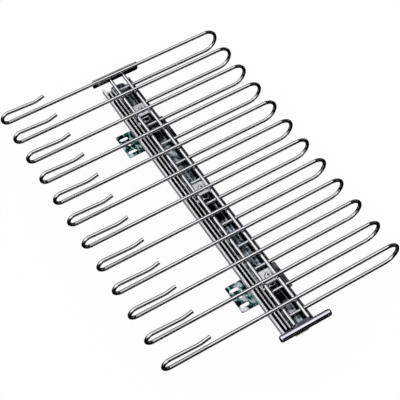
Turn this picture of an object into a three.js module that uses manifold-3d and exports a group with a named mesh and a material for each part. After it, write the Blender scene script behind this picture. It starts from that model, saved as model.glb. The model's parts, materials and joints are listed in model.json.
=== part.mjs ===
// Pull-out trouser rack: twelve bent-wire hangers on a wire frame that rides a full-extension ball slide.
// Millimetres, +Z up. The rack lies on its mounting brackets and is pulled towards -Y.
import * as THREE from 'three';
import { mergeVertices } from 'three/addons/utils/BufferGeometryUtils.js';
import Module from 'manifold-3d';

const wasm = await Module();
wasm.setup();

// Clearances and mesh fineness
const seatGap = 0.3;             // between pieces that rest on, or pass through, each other
const cutOverrun = 1;            // how far a cutting tool runs past the face it leaves by
const wireSides = 8;
const ringTurn = Math.PI / 10;   // turn between two rings of a bent wire
const roundSides = 12;
const cornerSteps = 2;           // curve divisions in a rounded corner
const bendSteps = 2;             // flats in a bend of rolled sheet
const curlSteps = 4;             // flats in the curled lip of a slide member
const ballSides = 8;
const ballRings = 4;

// Hangers
const hangerCount = 12;
const hangerPitch = 40;
const wireDiameter = 5;
const rackWidth = 344;           // over the outermost points of a hanger
const loopHeight = 36.5;         // main strand to return strand, centre to centre
const hookHeight = 19;           // main strand to the start of the hook's arm
const hookClosing = 0.06;        // radians that the arm leans back towards the main strand
const hookArm = 36;              // straight part of the arm
const flareTurn = 0.37;          // radians that the arm's end is bent open
const flareRadius = 24;
const flareTail = 10;
const returnReach = 3.6;         // return strand's end past the slide's middle

// Wire frame under the hangers
const rodSpacing = 20.2;
const rodsX = 4.7;
const platesX = 5.2;             // plates and handle, between the rods
const plateThickness = 2;
const plateCorner = 3;
const rearPlateWidth = 72;
const rearPlateHeight = 15.5;
const rearPlateRise = 1.5;       // top edge above the main strands' centre
const handleSetback = 28.5;      // last hanger to the handle plate
const handlePlateWidth = 20.6;
const handlePlateHeight = 29;
const handleLength = 73;
const handleDiameter = 9.3;
const handleDome = 3;
const handleDomeSteps = 3;

// Slide
const slideX = 10.4;
const slideShift = 0.5;          // slide's middle behind the middle of the hanger row
const slideLength = 476;
const slideWidth = 44.7;
const slideHeight = 12.7;
const slideSheet = 1.2;
const bendRadius = 0.9;          // of the rolled sheet's middle line
const innerBendRadius = 1.4;
const outerFoot = 1.7;           // slope at the foot of the outer member's walls
const outerCurl = 0.9;           // radius of the outer member's curled lips, on the middle line
const intermediateCurl = 0.8;
const curlTurn = 2;              // radians that a lip curls inward over its balls
const intermediateDrop = 0.2;    // top of the intermediate member below the outer lips
const outerBall = 4.4;
const innerBall = 3.6;
const ballRunGap = 0.3;
const cageSheet = 0.8;
const strapSheet = 0.6;
const strapGap = 0.4;
const grooveDepth = 0.4;
const innerWallFoot = 0.6;       // clearance under the inner member's walls
const cageLength = 238;
const cageWallHeight = 8.2;
const ballsPerRow = 7;
const cageWindows = 4;
const cageWindowLength = 34;
const cageWindowWidth = 12;
const intermediateFrontCut = 5.5;
const intermediateRearCut = 10.5;
const innerFrontCut = 1.5;
const innerRearCut = 4.5;
const innerEndRadius = 8;
const bumperLength = 7;
const bumperWidth = 18;
const bumperHeight = 6.5;
const bumperCorner = 2.3;
const screwHoleDiameter = 5;
const innerHoleShares = [-0.467, -0.283, -0.127, 0.129, 0.26, 0.427];  // of the slide's length, front first

// Risers between the slide and the rods
const riserHangers = [3, 7, 11];
const riserNames = ['rear', 'middle', 'front'];
const riserOffset = 8;           // riser's middle behind its hanger
const riserDepth = 20.5;
const riserBend = 2;
const riserFootDepth = 9.7;
const riserFootWidth = 20;
const riserTaperTop = 4;         // below the flange, where the wall starts to narrow
const riserTaper = 12;
const riserScrewShift = 2;
const bridgeCorner = 1.5;
const screwDiameter = 5;
const screwHeadDiameter = 10;
const screwHeadHeight = 2.6;
const screwTail = 1.2;
const recessDiameter = 4.4;
const recessSlot = 1.1;
const recessDepth = 1.4;
const nutSides = 6;
const nutWidth = 8;
const nutHeight = 4;
const rivetDiameter = 4;
const rivetHeadDiameter = 7;
const rivetHeadHeight = 1.8;
const rivetTail = 0.9;
const rivetSpread = 8;

// Mounting brackets under the slide
const bracketNames = ['rear', 'front'];
const rearBracketReach = 136.3;  // behind the middle of the hanger row
const frontBracketReach = 156.4; // before it
const bracketWidth = 76;
const bracketDepth = 42.5;
const bracketCorner = 1.5;
const bracketX = 3.2;
const slotLength = 13;
const slotWidth = 5.5;
const slotEdge = 8.8;            // bracket's edge to the slots' middle
const slotSpacing = 25.7;
const pilotDiameter = 5;
const pilotShift = 2;            // pilot hole's middle inward of the slots' middle
const bracketRivetSpacing = 24;
const bracketRivetHead = 7;
const bracketRivetTail = 6;
const bracketRivetCone = 0.8;    // height of the sunk heads

// Heights are measured from the centre of the main strands, then the whole rack is lifted onto Z = 0
const wireRadius = wireDiameter / 2;
const wireFlat = wireRadius * Math.cos(Math.PI / wireSides);
const rodZ = -(2 * wireFlat + seatGap);
const bridgeTop = rodZ - wireFlat - seatGap;
const slideTop = -(loopHeight + wireFlat + seatGap);
const slideBottom = slideTop - slideHeight;
const bracketTop = slideBottom - seatGap;
const bracketBottom = bracketTop - plateThickness;
const firstHangerY = hangerPitch * (hangerCount - 1) / 2;
const lastHangerY = -firstHangerY;
const rearPlateFront = firstHangerY + wireRadius + seatGap;
const handlePlateBack = lastHangerY - handleSetback;
const handlePlateFront = handlePlateBack - plateThickness;
const handleY = handlePlateFront - seatGap - handleDiameter / 2;
const slideRear = slideShift + slideLength / 2;
const slideFront = slideShift - slideLength / 2;
const bracketPlaces = [rearBracketReach, -frontBracketReach];
const rackRear = slideRear;
const rackFront = handleY - handleDiameter / 2;

const chrome = new THREE.MeshStandardMaterial({ color: 0xd8dade, metalness: 1, roughness: 0.1 });
const zinc = new THREE.MeshStandardMaterial({ color: 0xb4b9bf, metalness: 1, roughness: 0.3 });
const darkZinc = new THREE.MeshStandardMaterial({ color: 0x8d969b, metalness: 1, roughness: 0.32 });
const passivated = new THREE.MeshStandardMaterial({ color: 0x7fa19c, metalness: 0.9, roughness: 0.3 });
const steel = new THREE.MeshStandardMaterial({ color: 0xa9acb0, metalness: 1, roughness: 0.2 });
const rubber = new THREE.MeshStandardMaterial({ color: 0x2b2830, metalness: 0, roughness: 0.7 });

const rack = new THREE.Group();
rack.position.set(0, -(rackRear + rackFront) / 2, -bracketBottom);

function addPiece(name, geometry, material, x = 0, y = 0, z = 0) {
  const mesh = new THREE.Mesh(geometry, material);
  mesh.name = name;
  mesh.position.set(x, y, z);
  rack.add(mesh);
}

// Solids for cutting and joining
function toSolid(geometry) {
  const bare = geometry.clone();
  bare.deleteAttribute('normal');
  bare.deleteAttribute('uv');
  const merged = mergeVertices(bare);
  const corners = merged.index.array;
  const triangles = [];
  for (let i = 0; i < corners.length; i += 3) {
    const [a, b, c] = corners.slice(i, i + 3);
    if (a !== b && b !== c && c !== a) triangles.push(a, b, c);
  }
  return new wasm.Manifold(new wasm.Mesh({
    numProp: 3,
    vertProperties: new Float32Array(merged.attributes.position.array),
    triVerts: new Uint32Array(triangles),
  }));
}

function toGeometry(solid) {
  const mesh = solid.getMesh();
  const geometry = new THREE.BufferGeometry();
  geometry.setAttribute('position', new THREE.BufferAttribute(mesh.vertProperties, mesh.numProp));
  geometry.setIndex(new THREE.BufferAttribute(mesh.triVerts, 1));
  return geometry;
}

function cutAway(geometry, tools) {
  let solid = toSolid(geometry);
  for (const tool of tools) solid = solid.subtract(toSolid(tool));
  return toGeometry(solid);
}

// A section drawn in X and Z, run along Y between two places
function runAlongY(shape, front, rear) {
  const geometry = new THREE.ExtrudeGeometry(shape, {
    depth: rear - front, bevelEnabled: false, curveSegments: cornerSteps,
  });
  geometry.rotateX(Math.PI / 2);
  geometry.translate(0, rear, 0);
  return geometry;
}

// A plan outline drawn in X and Y, given a height
function raise(shape, bottom, top) {
  const geometry = new THREE.ExtrudeGeometry(shape, {
    depth: top - bottom, bevelEnabled: false, curveSegments: cornerSteps,
  });
  geometry.translate(0, 0, bottom);
  return geometry;
}

function roundedRectangle(width, height, radius) {
  const shape = new THREE.Shape();
  const x = width / 2 - radius;
  const y = height / 2 - radius;
  shape.absarc(x, y, radius, 0, Math.PI / 2);
  shape.absarc(-x, y, radius, Math.PI / 2, Math.PI);
  shape.absarc(-x, -y, radius, Math.PI, 3 * Math.PI / 2);
  shape.absarc(x, -y, radius, 3 * Math.PI / 2, 2 * Math.PI);
  return shape;
}

function polygon(points) {
  return new THREE.Shape(points.map(([x, y]) => new THREE.Vector2(x, y)));
}

// Rounds the inner corners of an open path with short arcs
function roundPath(corners, radius) {
  const path = [corners[0]];
  for (let i = 1; i < corners.length - 1; i += 1) {
    const toBack = corners[i - 1].clone().sub(corners[i]).normalize();
    const toNext = corners[i + 1].clone().sub(corners[i]).normalize();
    const halfAngle = Math.acos(THREE.MathUtils.clamp(toBack.dot(toNext), -1, 1)) / 2;
    const reach = radius / Math.tan(halfAngle);
    const start = corners[i].clone().addScaledVector(toBack, reach);
    const end = corners[i].clone().addScaledVector(toNext, reach);
    const arc = new THREE.QuadraticBezierCurve(start, corners[i], end);
    path.push(...arc.getPoints(bendSteps));
  }
  path.push(corners[corners.length - 1]);
  return path;
}

// The outline of a sheet whose middle line is the path
function sheetOutline(path, thickness) {
  const side = (sign) => path.map((point, i) => {
    const before = path[Math.max(i - 1, 0)];
    const after = path[Math.min(i + 1, path.length - 1)];
    const ahead = i < path.length - 1 ? after.clone().sub(point).normalize() : null;
    const behind = i > 0 ? point.clone().sub(before).normalize() : null;
    const along = (ahead ?? behind).clone().add(behind ?? ahead).normalize();
    const mitre = along.dot(ahead ?? behind);
    const normal = new THREE.Vector2(-along.y, along.x);
    return point.clone().addScaledVector(normal, sign * thickness / 2 / mitre);
  });
  return new THREE.Shape([...side(1), ...side(-1).reverse()]);
}

// A channel that is the same on both sides of its middle, from its right half: corners, then a lip's points
function channelSection(rightCorners, thickness, radius, lip = []) {
  const toRight = ([x, y]) => new THREE.Vector2(x, y);
  const toLeft = ([x, y]) => new THREE.Vector2(-x, y);
  const [start, ...restOfLip] = lip;
  const corners = start ? [...rightCorners, start] : rightCorners;
  const wall = roundPath([...corners.map(toLeft).reverse(), ...corners.map(toRight)], radius);
  return sheetOutline([...restOfLip.map(toLeft).reverse(), ...wall, ...restOfLip.map(toRight)], thickness);
}

function drill(diameter, x, y, bottom, top) {
  const tool = new THREE.CylinderGeometry(diameter / 2, diameter / 2, top - bottom, roundSides);
  tool.rotateX(Math.PI / 2);
  tool.translate(x, y, (top + bottom) / 2);
  return tool;
}

// A round piece turned about Z, from a rising profile of radius and height pairs
function turned(profile, sides = roundSides) {
  const points = profile.map(([radius, height]) => new THREE.Vector2(radius, height));
  const geometry = new THREE.LatheGeometry(points, sides);
  geometry.rotateX(Math.PI / 2);
  return toGeometry(toSolid(geometry));
}

// A wire bent in the XZ plane: straight runs and round bends, with rings only where it bends
class BentWire extends THREE.Curve {
  constructor(x, z, heading, legs) {
    super();
    this.rings = [{ x, z, heading }];
    for (const leg of legs) {
      if (leg.run) this.goStraight(leg.run);
      else this.goRound(leg.turn, leg.radius);
    }
  }

  goStraight(run) {
    const last = this.rings[this.rings.length - 1];
    this.rings.push({
      x: last.x + run * Math.cos(last.heading),
      z: last.z + run * Math.sin(last.heading),
      heading: last.heading,
    });
  }

  goRound(turn, radius) {
    const start = this.rings[this.rings.length - 1];
    const side = Math.sign(turn) * radius;
    const centreX = start.x - side * Math.sin(start.heading);
    const centreZ = start.z + side * Math.cos(start.heading);
    const steps = Math.ceil(Math.abs(turn) / ringTurn);
    for (let i = 1; i <= steps; i += 1) {
      const heading = start.heading + turn * i / steps;
      this.rings.push({
        x: centreX + side * Math.sin(heading),
        z: centreZ - side * Math.cos(heading),
        heading,
      });
    }
  }

  get steps() {
    return this.rings.length - 1;
  }

  getPointAt(u, target = new THREE.Vector3()) {
    const ring = this.rings[Math.round(u * this.steps)];
    return target.set(ring.x, 0, ring.z);
  }

  getTangentAt(u, target = new THREE.Vector3()) {
    const { heading } = this.rings[Math.round(u * this.steps)];
    return target.set(Math.cos(heading), 0, Math.sin(heading));
  }
}

// The wire's section, with flats above, below and beside it
function wireSection() {
  const points = [];
  for (let i = 0; i < wireSides; i += 1) {
    const angle = (i + 1 / 2) * 2 * Math.PI / wireSides;
    points.push([wireRadius * Math.cos(angle), wireRadius * Math.sin(angle)]);
  }
  return polygon(points);
}

// One hanger: return strand on the slide, loop, main strand, hook and flared arm
function hangerGeometry() {
  const tipX = rackWidth / 2 - wireRadius;
  const loopRadius = loopHeight / 2;
  const hookRadius = hookHeight / 2;
  const returnEnd = slideX - returnReach;
  const path = new BentWire(returnEnd, -loopHeight, 0, [
    { run: tipX - loopRadius - returnEnd },
    { turn: Math.PI, radius: loopRadius },
    { run: 2 * tipX - loopRadius - hookRadius },
    { turn: -(Math.PI + hookClosing), radius: hookRadius },
    { run: hookArm },
    { turn: flareTurn, radius: flareRadius },
    { run: flareTail },
  ]);
  return new THREE.ExtrudeGeometry(wireSection(), { steps: path.steps, extrudePath: path });
}

function addHangers() {
  for (let i = 0; i < hangerCount; i += 1) {
    const number = String(i + 1).padStart(2, '0');
    addPiece(`hanger_${number}`, hangerGeometry(), chrome, 0, firstHangerY - i * hangerPitch, 0);
  }
}

function addRods() {
  const front = handlePlateBack + seatGap;
  const rear = rearPlateFront - seatGap;
  addPiece('rod_left', runAlongY(wireSection(), front, rear), chrome, rodsX - rodSpacing / 2, 0, rodZ);
  addPiece('rod_right', runAlongY(wireSection(), front, rear), chrome, rodsX + rodSpacing / 2, 0, rodZ);
}

function addRearPlate() {
  const outline = roundedRectangle(rearPlateWidth, rearPlateHeight, plateCorner);
  const plate = runAlongY(outline, rearPlateFront, rearPlateFront + plateThickness);
  addPiece('rear_plate', plate, chrome, platesX, 0, rearPlateRise - rearPlateHeight / 2);
}

function addHandle() {
  const outline = roundedRectangle(handlePlateWidth, handlePlateHeight, plateCorner);
  const plate = runAlongY(outline, handlePlateFront, handlePlateBack);
  addPiece('handle_plate', plate, chrome, platesX, 0, rodZ + wireRadius - handlePlateHeight / 2);
  addPiece('handle_bar', handleBarGeometry(), chrome, platesX, handleY, rodZ);
}

function handleBarGeometry() {
  const radius = handleDiameter / 2;
  const half = handleLength / 2;
  const dome = (end) => {
    const points = [];
    for (let i = 0; i <= handleDomeSteps; i += 1) {
      const angle = i / handleDomeSteps * Math.PI / 2;
      points.push([radius * Math.sin(angle), end * (half - handleDome + handleDome * Math.cos(angle))]);
    }
    return points;
  };
  const bar = turned([...dome(-1), ...dome(1).reverse()]);
  bar.rotateY(Math.PI / 2);
  return bar;
}

// Slide sections, as distances from the slide's middle and heights above its underside
const outerWallMiddle = slideWidth / 2 - slideSheet / 2;
const outerWallInside = slideWidth / 2 - slideSheet;
const intermediateWallMiddle = outerWallInside - outerBall - 2 * ballRunGap - slideSheet / 2;
const outerRaceMiddle = outerWallInside - ballRunGap - outerBall / 2;
const innerWallMiddle = intermediateWallMiddle - slideSheet - innerBall - 2 * ballRunGap;
const innerRaceMiddle = innerWallMiddle + slideSheet / 2 + ballRunGap + innerBall / 2;
const outerStrapBottom = slideSheet + strapGap;
const intermediateWebBottom = outerStrapBottom + strapSheet + strapGap;
const innerStrapBottom = intermediateWebBottom + slideSheet + strapGap;
const innerWallBottom = innerStrapBottom + strapSheet + innerWallFoot;
const outerBallHeight = (intermediateWebBottom + slideHeight) / 2;
const innerBallHeight = (innerWallBottom + slideHeight) / 2;

// A lip that curls inward from the top of a wall's middle line
function curl(wall, top, radius) {
  const points = [];
  for (let i = 0; i <= curlSteps; i += 1) {
    const angle = curlTurn * i / curlSteps;
    const x = wall - radius + radius * Math.cos(angle);
    points.push([x, top - slideSheet / 2 - radius + radius * Math.sin(angle)]);
  }
  return points;
}

function outerSection() {
  const web = slideSheet / 2;
  return channelSection([
    [outerWallMiddle - outerFoot, web],
    [outerWallMiddle, web + outerFoot],
  ], slideSheet, bendRadius, curl(outerWallMiddle, slideHeight, outerCurl));
}

function intermediateSection() {
  const web = intermediateWebBottom + slideSheet / 2;
  const shoulder = intermediateWallMiddle + grooveDepth;
  const top = slideHeight - intermediateDrop;
  return channelSection([
    [shoulder - slideSheet, web],
    [shoulder, web + slideSheet],
    [intermediateWallMiddle, outerBallHeight],
  ], slideSheet, bendRadius, curl(shoulder, top, intermediateCurl));
}

function innerSection() {
  const web = slideHeight - slideSheet / 2;
  return channelSection([
    [innerWallMiddle, web],
    [innerWallMiddle, innerWallBottom + slideSheet + grooveDepth],
    [innerWallMiddle + grooveDepth, innerWallBottom],
  ], slideSheet, innerBendRadius);
}

function cageSection(wallMiddle, strapBottom) {
  const strapTop = strapBottom + strapSheet;
  const outside = wallMiddle + cageSheet / 2;
  const inside = wallMiddle - cageSheet / 2;
  const top = strapBottom + cageWallHeight;
  return polygon([
    [-outside, strapBottom], [outside, strapBottom], [outside, top], [inside, top],
    [inside, strapTop], [-inside, strapTop], [-inside, top], [-outside, top],
  ]);
}

// A ball cage: strap and walls in one strip, windows in the strap and the balls it carries
function cageGeometry(wallMiddle, strapBottom, ballDiameter, ballHeight) {
  const strip = runAlongY(cageSection(wallMiddle, strapBottom), -cageLength / 2, cageLength / 2);
  let solid = toSolid(strip);
  for (let i = 0; i < cageWindows; i += 1) {
    const y = ((i + 1 / 2) / cageWindows - 1 / 2) * cageLength;
    const window = raise(
      roundedRectangle(cageWindowWidth, cageWindowLength, plateCorner),
      strapBottom - cutOverrun,
      strapBottom + strapSheet + cutOverrun,
    );
    window.translate(0, y, 0);
    solid = solid.subtract(toSolid(window));
  }
  for (let i = 0; i < ballsPerRow; i += 1) {
    const y = ((i + 1 / 2) / ballsPerRow - 1 / 2) * cageLength;
    for (const side of [-1, 1]) {
      const ball = new THREE.SphereGeometry(ballDiameter / 2, ballSides, ballRings);
      ball.rotateZ(Math.PI / 2);
      ball.translate(side * wallMiddle, y, ballHeight);
      solid = solid.add(toSolid(ball));
    }
  }
  return toGeometry(solid);
}

// A rivet sunk flush into the web above and the bracket below, or the tool that cuts its seat
function flushRivet(gap, overrun) {
  const head = bracketRivetHead / 2 + gap;
  const tail = bracketRivetTail / 2 + gap;
  const shank = rivetDiameter / 2 + gap;
  const low = bracketBottom - slideBottom + seatGap;
  const high = slideSheet;
  return turned([
    [0, low - overrun], [tail, low - overrun], [tail, low], [shank, low + bracketRivetCone],
    [shank, high - bracketRivetCone], [head, high], [head, high + overrun], [0, high + overrun],
  ]);
}

function bracketRivetPlaces() {
  return bracketPlaces.flatMap((y) => [y + bracketRivetSpacing / 2, y - bracketRivetSpacing / 2]);
}

function addSlide() {
  const outerTools = bracketRivetPlaces().map((y) => flushRivet(seatGap, cutOverrun).translate(0, y, 0));
  const outer = cutAway(runAlongY(outerSection(), slideFront, slideRear), outerTools);
  addPiece('outer_member', outer, zinc, slideX, 0, slideBottom);

  const intermediateFront = slideFront + intermediateFrontCut;
  const intermediateRear = slideRear - intermediateRearCut;
  const intermediate = runAlongY(intermediateSection(), intermediateFront, intermediateRear);
  addPiece('intermediate_member', intermediate, darkZinc, slideX, 0, slideBottom);

  addPiece('inner_member', innerMemberGeometry(), zinc, slideX, 0, slideBottom);

  const outerCage = cageGeometry(outerRaceMiddle, outerStrapBottom, outerBall, outerBallHeight);
  addPiece('outer_ball_cage', outerCage, steel, slideX, slideShift, slideBottom);
  const innerCage = cageGeometry(innerRaceMiddle, innerStrapBottom, innerBall, innerBallHeight);
  addPiece('inner_ball_cage', innerCage, steel, slideX, slideShift, slideBottom);

  const bumper = raise(roundedRectangle(bumperWidth, bumperLength, bumperCorner), 0, bumperHeight);
  const bumperY = slideRear - seatGap - bumperLength / 2;
  addPiece('rear_bumper', bumper, rubber, slideX, bumperY, slideBottom + slideSheet + seatGap);
}

function innerMemberGeometry() {
  const front = slideFront + innerFrontCut;
  const rear = slideRear - innerRearCut;
  const width = 2 * (innerWallMiddle + grooveDepth + slideSheet);
  const plan = roundedRectangle(width, rear - front, innerEndRadius);
  const trim = raise(plan, -cutOverrun, slideHeight + cutOverrun);
  trim.translate(0, (front + rear) / 2, 0);
  const channel = toSolid(runAlongY(innerSection(), front, rear)).intersect(toSolid(trim));
  const bottom = slideHeight - slideSheet - cutOverrun;
  const top = slideHeight + cutOverrun;
  const tools = innerHoleShares.map((share) => drill(screwHoleDiameter, 0, share * slideLength, bottom, top));
  for (const y of riserPlaces()) {
    for (const side of [-1, 1]) {
      const hole = rivetDiameter + 2 * seatGap;
      tools.push(drill(hole, side * rivetSpread / 2, y + riserRivetY, bottom, top));
    }
  }
  let solid = channel;
  for (const tool of tools) solid = solid.subtract(toSolid(tool));
  return toGeometry(solid);
}

// Risers
const bridgeWidth = rodSpacing + wireDiameter;
const flangeTop = bridgeTop - plateThickness - seatGap;
const footBottom = slideTop + seatGap;
const riserScrewX = rodsX + riserScrewShift;
const riserRivetY = riserDepth / 2 - riserBend - riserFootDepth / 2;

function riserPlaces() {
  return riserHangers.map((number) => firstHangerY - (number - 1) * hangerPitch + riserOffset);
}

// The bent sheet seen from the side, trimmed to the front view that narrows to the foot
function riserGeometry() {
  const middle = plateThickness / 2;
  const back = riserDepth / 2 - middle;
  const corners = [
    [riserDepth / 2 - riserFootDepth, footBottom + middle],
    [back, footBottom + middle],
    [back, flangeTop - middle],
    [-riserDepth / 2, flangeTop - middle],
  ].map(([y, z]) => new THREE.Vector2(y, z));
  const section = sheetOutline(roundPath(corners, riserBend), plateThickness);
  const blank = new THREE.ExtrudeGeometry(section, { depth: bridgeWidth, bevelEnabled: false });
  blank.rotateX(Math.PI / 2);
  blank.rotateZ(Math.PI / 2);
  blank.translate(rodsX - bridgeWidth / 2, 0, 0);
  const footLeft = slideX - riserFootWidth / 2;
  const footRight = slideX + riserFootWidth / 2;
  const flangeLeft = rodsX - bridgeWidth / 2;
  const flangeRight = rodsX + bridgeWidth / 2;
  const taperTop = flangeTop - riserTaperTop;
  const front = polygon([
    [footLeft, footBottom - cutOverrun], [footRight, footBottom - cutOverrun],
    [footRight, taperTop - riserTaper], [flangeRight, taperTop], [flangeRight, flangeTop + cutOverrun],
    [flangeLeft, flangeTop + cutOverrun], [flangeLeft, taperTop], [footLeft, taperTop - riserTaper],
  ]);
  const trim = runAlongY(front, -riserDepth, riserDepth);
  let solid = toSolid(blank).intersect(toSolid(trim));
  const flangeHole = drill(
    screwDiameter + 2 * seatGap, riserScrewX, 0,
    flangeTop - plateThickness - cutOverrun, flangeTop + cutOverrun,
  );
  solid = solid.subtract(toSolid(flangeHole));
  for (const side of [-1, 1]) {
    const hole = drill(
      rivetDiameter + 2 * seatGap, slideX + side * rivetSpread / 2, riserRivetY,
      footBottom - cutOverrun, footBottom + plateThickness + cutOverrun,
    );
    solid = solid.subtract(toSolid(hole));
  }
  return toGeometry(solid);
}

function bridgeGeometry() {
  const plan = roundedRectangle(bridgeWidth, riserDepth, bridgeCorner);
  const plate = raise(plan, bridgeTop - plateThickness, bridgeTop);
  plate.translate(rodsX, 0, 0);
  const hole = drill(
    screwDiameter + 2 * seatGap, riserScrewX, 0,
    bridgeTop - plateThickness - cutOverrun, bridgeTop + cutOverrun,
  );
  return cutAway(plate, [hole]);
}

function riserScrewGeometry() {
  const head = screwHeadDiameter / 2;
  const shank = screwDiameter / 2;
  const bottom = -(2 * plateThickness + 3 * seatGap + nutHeight + screwTail);
  const screw = turned([
    [0, bottom], [shank, bottom], [shank, 0], [head, 0], [head, screwHeadHeight / 2],
    [head * Math.cos(Math.PI / 4), screwHeadHeight], [0, screwHeadHeight],
  ]);
  const recess = [0, Math.PI / 2].map((turn) => {
    const blade = new THREE.BoxGeometry(recessDiameter, recessSlot, 2 * recessDepth);
    blade.rotateZ(turn);
    blade.translate(0, 0, screwHeadHeight);
    return blade;
  });
  return cutAway(screw, recess);
}

function nutGeometry() {
  const hexagon = new THREE.Shape();
  const corner = nutWidth / 2 / Math.cos(Math.PI / nutSides);
  for (let i = 0; i < nutSides; i += 1) {
    const angle = (i + 1 / 2) * 2 * Math.PI / nutSides;
    if (i === 0) hexagon.moveTo(corner * Math.cos(angle), corner * Math.sin(angle));
    else hexagon.lineTo(corner * Math.cos(angle), corner * Math.sin(angle));
  }
  const blank = raise(hexagon, -nutHeight, 0);
  return cutAway(blank, [drill(screwDiameter + 2 * seatGap, 0, 0, -nutHeight - cutOverrun, cutOverrun)]);
}

function footRivetGeometry() {
  const shank = rivetDiameter / 2;
  const head = rivetHeadDiameter / 2;
  const tailTop = -(plateThickness + slideSheet + 3 * seatGap);
  const tail = head * Math.cos(Math.PI / 6);
  return turned([
    [0, tailTop - rivetTail], [tail, tailTop - rivetTail], [tail, tailTop], [shank, tailTop],
    [shank, 0], [head, 0], [head * Math.cos(Math.PI / 6), rivetHeadHeight / 2],
    [head / 2, rivetHeadHeight], [0, rivetHeadHeight],
  ]);
}

function addRisers() {
  riserPlaces().forEach((y, i) => {
    const name = riserNames[i];
    addPiece(`bridge_plate_${name}`, bridgeGeometry(), chrome, 0, y, 0);
    addPiece(`riser_${name}`, riserGeometry(), chrome, 0, y, 0);
    addPiece(`riser_screw_${name}`, riserScrewGeometry(), zinc, riserScrewX, y, bridgeTop + seatGap);
    const nutTop = flangeTop - plateThickness - seatGap;
    addPiece(`riser_nut_${name}`, nutGeometry(), zinc, riserScrewX, y, nutTop);
    for (const [side, word] of [[-1, 'left'], [1, 'right']]) {
      const x = slideX + side * rivetSpread / 2;
      const z = footBottom + plateThickness + seatGap;
      addPiece(`riser_rivet_${name}_${word}`, footRivetGeometry(), steel, x, y + riserRivetY, z);
    }
  });
}

function slotTool(x, y) {
  const slot = roundedRectangle(slotLength, slotWidth, slotWidth / 2 - seatGap / 2);
  return raise(slot, bracketBottom - cutOverrun, bracketTop + cutOverrun).translate(x, y, 0);
}

function bracketGeometry() {
  const plan = roundedRectangle(bracketWidth, bracketDepth, bracketCorner);
  const plate = raise(plan, bracketBottom, bracketTop);
  plate.translate(bracketX, 0, 0);
  const slotX = bracketX - bracketWidth / 2 + slotEdge;
  const tools = [slotTool(slotX, slotSpacing / 2), slotTool(slotX, -slotSpacing / 2)];
  tools.push(drill(pilotDiameter, slotX + pilotShift, 0, bracketBottom - cutOverrun, bracketTop + cutOverrun));
  for (const side of [-1, 1]) {
    const rivet = flushRivet(seatGap, cutOverrun);
    tools.push(rivet.translate(slideX, side * bracketRivetSpacing / 2, slideBottom));
  }
  return cutAway(plate, tools);
}

function addBrackets() {
  bracketNames.forEach((name, i) => {
    addPiece(`mount_bracket_${name}`, bracketGeometry(), passivated, 0, bracketPlaces[i], 0);
    for (const [side, word] of [[1, 'rear'], [-1, 'front']]) {
      const y = bracketPlaces[i] + side * bracketRivetSpacing / 2;
      addPiece(`bracket_rivet_${name}_${word}`, flushRivet(0, 0), steel, slideX, y, slideBottom);
    }
  });
}

addHangers();
addRods();
addRearPlate();
addHandle();
addSlide();
addRisers();
addBrackets();

export default rack;
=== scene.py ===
import json
import math

import bmesh
import bpy
from mathutils import Matrix, Vector

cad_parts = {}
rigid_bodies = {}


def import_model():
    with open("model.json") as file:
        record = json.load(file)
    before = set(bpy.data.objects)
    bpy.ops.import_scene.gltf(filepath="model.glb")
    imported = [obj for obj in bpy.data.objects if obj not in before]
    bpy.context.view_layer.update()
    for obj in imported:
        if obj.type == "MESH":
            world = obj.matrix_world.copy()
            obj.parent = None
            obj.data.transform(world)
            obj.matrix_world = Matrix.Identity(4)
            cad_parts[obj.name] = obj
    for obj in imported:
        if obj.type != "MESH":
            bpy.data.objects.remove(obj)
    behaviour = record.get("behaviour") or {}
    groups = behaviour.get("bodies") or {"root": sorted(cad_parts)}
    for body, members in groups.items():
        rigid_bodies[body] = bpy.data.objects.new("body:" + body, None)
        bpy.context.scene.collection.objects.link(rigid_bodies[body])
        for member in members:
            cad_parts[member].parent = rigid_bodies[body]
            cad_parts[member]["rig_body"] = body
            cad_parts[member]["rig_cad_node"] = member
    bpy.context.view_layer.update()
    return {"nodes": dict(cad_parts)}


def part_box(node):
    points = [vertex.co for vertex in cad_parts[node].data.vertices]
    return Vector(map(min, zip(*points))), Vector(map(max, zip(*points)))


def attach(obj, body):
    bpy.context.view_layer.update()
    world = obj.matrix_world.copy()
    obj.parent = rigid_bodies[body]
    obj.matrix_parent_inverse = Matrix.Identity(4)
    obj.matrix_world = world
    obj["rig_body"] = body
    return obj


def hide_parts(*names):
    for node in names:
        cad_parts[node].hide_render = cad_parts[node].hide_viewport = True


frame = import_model()
print("frame loaded")

mm = 0.001
mergeDistance = 0.01 * mm
quarterTurn = math.pi / 2
riserNames = ["rear", "middle", "front"]
bracketNames = ["rear", "front"]


# Working in object and edit mode

def clearSelection():
    bpy.ops.object.select_all(action="DESELECT")


def makeActive(piece):
    clearSelection()
    piece.select_set(True)
    bpy.context.view_layer.objects.active = piece


def startPiece(name, addPrimitive, scale=(1, 1, 1), **place):
    clearSelection()
    addPrimitive(**place)
    piece = bpy.context.active_object
    piece.scale = scale
    piece.name = name
    piece.data.name = name
    bpy.ops.object.transform_apply(location=True, rotation=True, scale=True)
    return piece


def openEdit(piece):
    makeActive(piece)
    bpy.ops.object.mode_set(mode="EDIT")


def closeEdit():
    bpy.ops.object.mode_set(mode="OBJECT")


def middle(edge):
    return sum((vert.co for vert in edge.verts), Vector()) / len(edge.verts)


def pick(piece, kind, wanted):
    bpy.ops.mesh.select_mode(type=kind)
    bpy.ops.mesh.select_all(action="DESELECT")
    mesh = bmesh.from_edit_mesh(piece.data)
    parts = {"EDGE": mesh.edges, "FACE": mesh.faces}[kind]
    for part in parts:
        if wanted(part):
            part.select_set(True)
    mesh.select_flush_mode()
    bmesh.update_edit_mesh(piece.data)


def extrude(x, y, z):
    bpy.ops.mesh.extrude_region_move(TRANSFORM_OT_translate={"value": (x, y, z)})


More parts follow.
